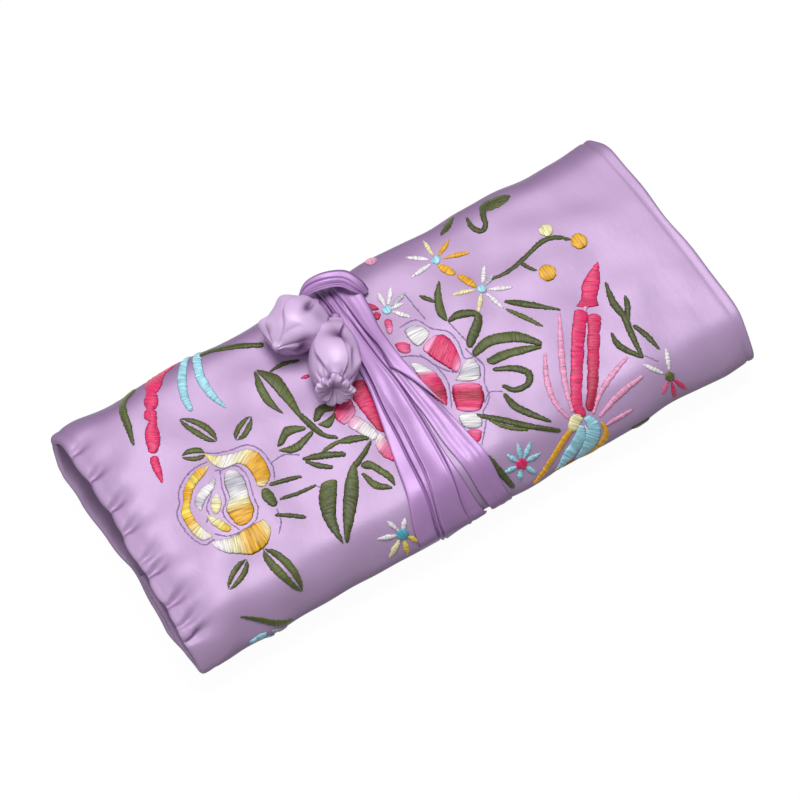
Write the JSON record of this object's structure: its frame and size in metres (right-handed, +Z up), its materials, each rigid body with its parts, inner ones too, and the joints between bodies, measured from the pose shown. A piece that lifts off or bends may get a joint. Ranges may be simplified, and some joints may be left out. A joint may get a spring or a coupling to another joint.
{
  "type": "jewelry roll",
  "caption": "Padded satin jewelry roll folded in thirds, with zipped pockets and a ring bar inside, tied by ribbons with rosebud ends.",
  "frame": {"origin": "middle of the rolled bag at the face that it lies on", "axes": "+X along the roll, +Y across it towards the folded edge that carries the tied bow, +Z up"},
  "size_m": [0.2, 0.0948, 0.0378],
  "materials": {
    "outer_satin": "lilac satin with raised thread embroidery",
    "wadding": "soft white wadding",
    "lining_satin": "lilac satin lining",
    "pocket_satin": "lilac satin",
    "ribbon_satin": "glossy lilac satin ribbon",
    "zip_tape": "woven zip tape",
    "zip_teeth": "nylon",
    "zip_metal": "polished",
    "snap_metal": "polished"
  },
  "bodies": {
    "base": {"base_shell": "outer_satin", "base_wadding": "wadding", "base_lining": "lining_satin", "base_pocket": "pocket_satin", "base_zip_tape": "zip_tape", "base_zip_teeth_far": "zip_teeth", "base_zip_teeth_near": "zip_teeth", "ribbon_left_under": "ribbon_satin", "ribbon_right_under": "ribbon_satin"},
    "far_low": {"far_low_shell": "outer_satin", "far_low_lining": "lining_satin", "ribbon_left_far_low": "ribbon_satin", "ribbon_right_far_low": "ribbon_satin"},
    "far_high": {"far_high_shell": "outer_satin", "far_high_lining": "lining_satin", "ribbon_left_far_high": "ribbon_satin", "ribbon_right_far_high": "ribbon_satin"},
    "top": {"top_shell": "outer_satin", "top_wadding": "wadding", "top_lining": "lining_satin", "top_far_pocket": "pocket_satin", "top_near_pocket": "pocket_satin", "top_far_zip_tape": "zip_tape", "top_far_zip_teeth_far": "zip_teeth", "top_far_zip_teeth_near": "zip_teeth", "top_near_zip_tape": "zip_tape", "top_near_zip_teeth_far": "zip_teeth", "top_near_zip_teeth_near": "zip_teeth"},
    "near_high": {"near_high_shell": "outer_satin", "near_high_lining": "lining_satin"},
    "near_low": {"near_low_shell": "outer_satin", "near_low_lining": "lining_satin"},
    "flap": {"flap_shell": "outer_satin", "flap_wadding": "wadding", "flap_lining": "lining_satin", "ring_bar_anchor": "pocket_satin", "snap_stud": "snap_metal"},
    "ring_bar": {"ring_bar": "pocket_satin", "ring_bar_hinge_tab": "pocket_satin", "snap_strap": "pocket_satin", "snap_socket": "snap_metal", "snap_cap": "snap_metal"},
    "base_zip_slider": {"base_zip_slider": "zip_metal"},
    "base_zip_pull": {"base_zip_pull": "zip_metal"},
    "top_far_zip_slider": {"top_far_zip_slider": "zip_metal"},
    "top_far_zip_pull": {"top_far_zip_pull": "zip_metal"},
    "top_near_zip_slider": {"top_near_zip_slider": "zip_metal"},
    "top_near_zip_pull": {"top_near_zip_pull": "zip_metal"},
    "tie_near": {"ribbon_left_near": "ribbon_satin", "ribbon_right_near": "ribbon_satin"},
    "tie_top": {"ribbon_left_top": "ribbon_satin", "ribbon_right_top": "ribbon_satin", "tie_hitch": "ribbon_satin", "rosebud_far_knot": "ribbon_satin", "rosebud_far": "ribbon_satin", "rosebud_near_knot": "ribbon_satin", "rosebud_near": "ribbon_satin"}
  },
  "joints": [
    {"name": "unroll", "type": "hinge", "parent": "base", "child": "far_low", "pos_m": [0, 0.036, 0.0012], "axis": [-1, 0, 0], "range_deg": [0, 43.83]},
    {"name": "far_fold_middle", "type": "hinge", "parent": "far_low", "child": "far_high", "pos_m": [0, 0.04673, 0.01175], "axis": [-1, 0, 0], "range_deg": [0, 87.82]},
    {"name": "far_fold_top", "type": "hinge", "parent": "far_high", "child": "top", "pos_m": [0, 0.036, 0.023], "axis": [-1, 0, 0], "range_deg": [0, 45.65]},
    {"name": "near_fold_top", "type": "hinge", "parent": "top", "child": "near_high", "pos_m": [0, -0.036, 0.023], "axis": [-1, 0, 0], "range_deg": [0, 41.42]},
    {"name": "near_fold_middle", "type": "hinge", "parent": "near_high", "child": "near_low", "pos_m": [0, -0.046, 0.01225], "axis": [-1, 0, 0], "range_deg": [0, 74.28]},
    {"name": "near_fold_low", "type": "hinge", "parent": "near_low", "child": "flap", "pos_m": [0, -0.038, 0.0032], "axis": [-1, 0, 0], "range_deg": [0, 42.7]},
    {"name": "ring_bar_lift", "type": "hinge", "parent": "flap", "child": "ring_bar", "pos_m": [-0.06165, -0.01, 0.0065], "axis": [0, -1, 0], "range_deg": [0, 38]},
    {"name": "base_zip_slide", "type": "slide", "parent": "base", "child": "base_zip_slider", "axis": [1, 0, 0], "range_m": [0, 0.126]},
    {"name": "base_zip_pull_lift", "type": "hinge", "parent": "base_zip_slider", "child": "base_zip_pull", "pos_m": [-0.068, 0.014, 0.0066], "axis": [0, -1, 0], "range_deg": [0, 100]},
    {"name": "top_far_zip_slide", "type": "slide", "parent": "top", "child": "top_far_zip_slider", "axis": [1, 0, 0], "range_m": [0, 0.126]},
    {"name": "top_far_zip_pull_lift", "type": "hinge", "parent": "top_far_zip_slider", "child": "top_far_zip_pull", "pos_m": [-0.068, 0.02565, 0.0173], "axis": [0, 0.9963, -0.0854], "range_deg": [0, 100]},
    {"name": "top_near_zip_slide", "type": "slide", "parent": "top", "child": "top_near_zip_slider", "axis": [1, 0, 0], "range_m": [0, 0.126]},
    {"name": "top_near_zip_pull_lift", "type": "hinge", "parent": "top_near_zip_slider", "child": "top_near_zip_pull", "pos_m": [-0.068, 0.00396, 0.01837], "axis": [0, 0.9999, -0.0131], "range_deg": [0, 100]},
    {"name": "ribbon_near_fall", "type": "hinge", "parent": "base", "child": "tie_near", "pos_m": [0, -0.0448, 0.00068], "axis": [1, 0, 0], "range_deg": [0, 82], "deforming": ["ribbon_left_near", "ribbon_right_near"]},
    {"name": "tie_slip", "type": "slide", "parent": "base", "child": "tie_top", "axis": [0, -0.9789, -0.2045], "range_m": [0, 0.11442], "deforming": ["ribbon_left_top", "ribbon_right_top", "tie_hitch", "rosebud_far_knot", "rosebud_far", "rosebud_near_knot", "rosebud_near"]}
  ],
  "couplings": [
    {"joint": "far_fold_middle", "follows": "unroll", "ratio": 2.0034},
    {"joint": "far_fold_top", "follows": "unroll", "ratio": 1.0413},
    {"joint": "near_fold_top", "follows": "unroll", "ratio": 0.94495},
    {"joint": "near_fold_middle", "follows": "unroll", "ratio": 1.6945},
    {"joint": "near_fold_low", "follows": "unroll", "ratio": 0.97415},
    {"joint": "ring_bar_lift", "follows": "unroll", "ratio": 0.86691},
    {"joint": "base_zip_pull_lift", "follows": "unroll", "ratio": 2.2813},
    {"joint": "top_far_zip_pull_lift", "follows": "unroll", "ratio": 2.2813},
    {"joint": "top_near_zip_pull_lift", "follows": "unroll", "ratio": 2.2813},
    {"joint": "ribbon_near_fall", "follows": "unroll", "ratio": 1.8707},
    {"joint": "tie_slip", "follows": "unroll", "m_per_rad": 0.14956}
  ]
}
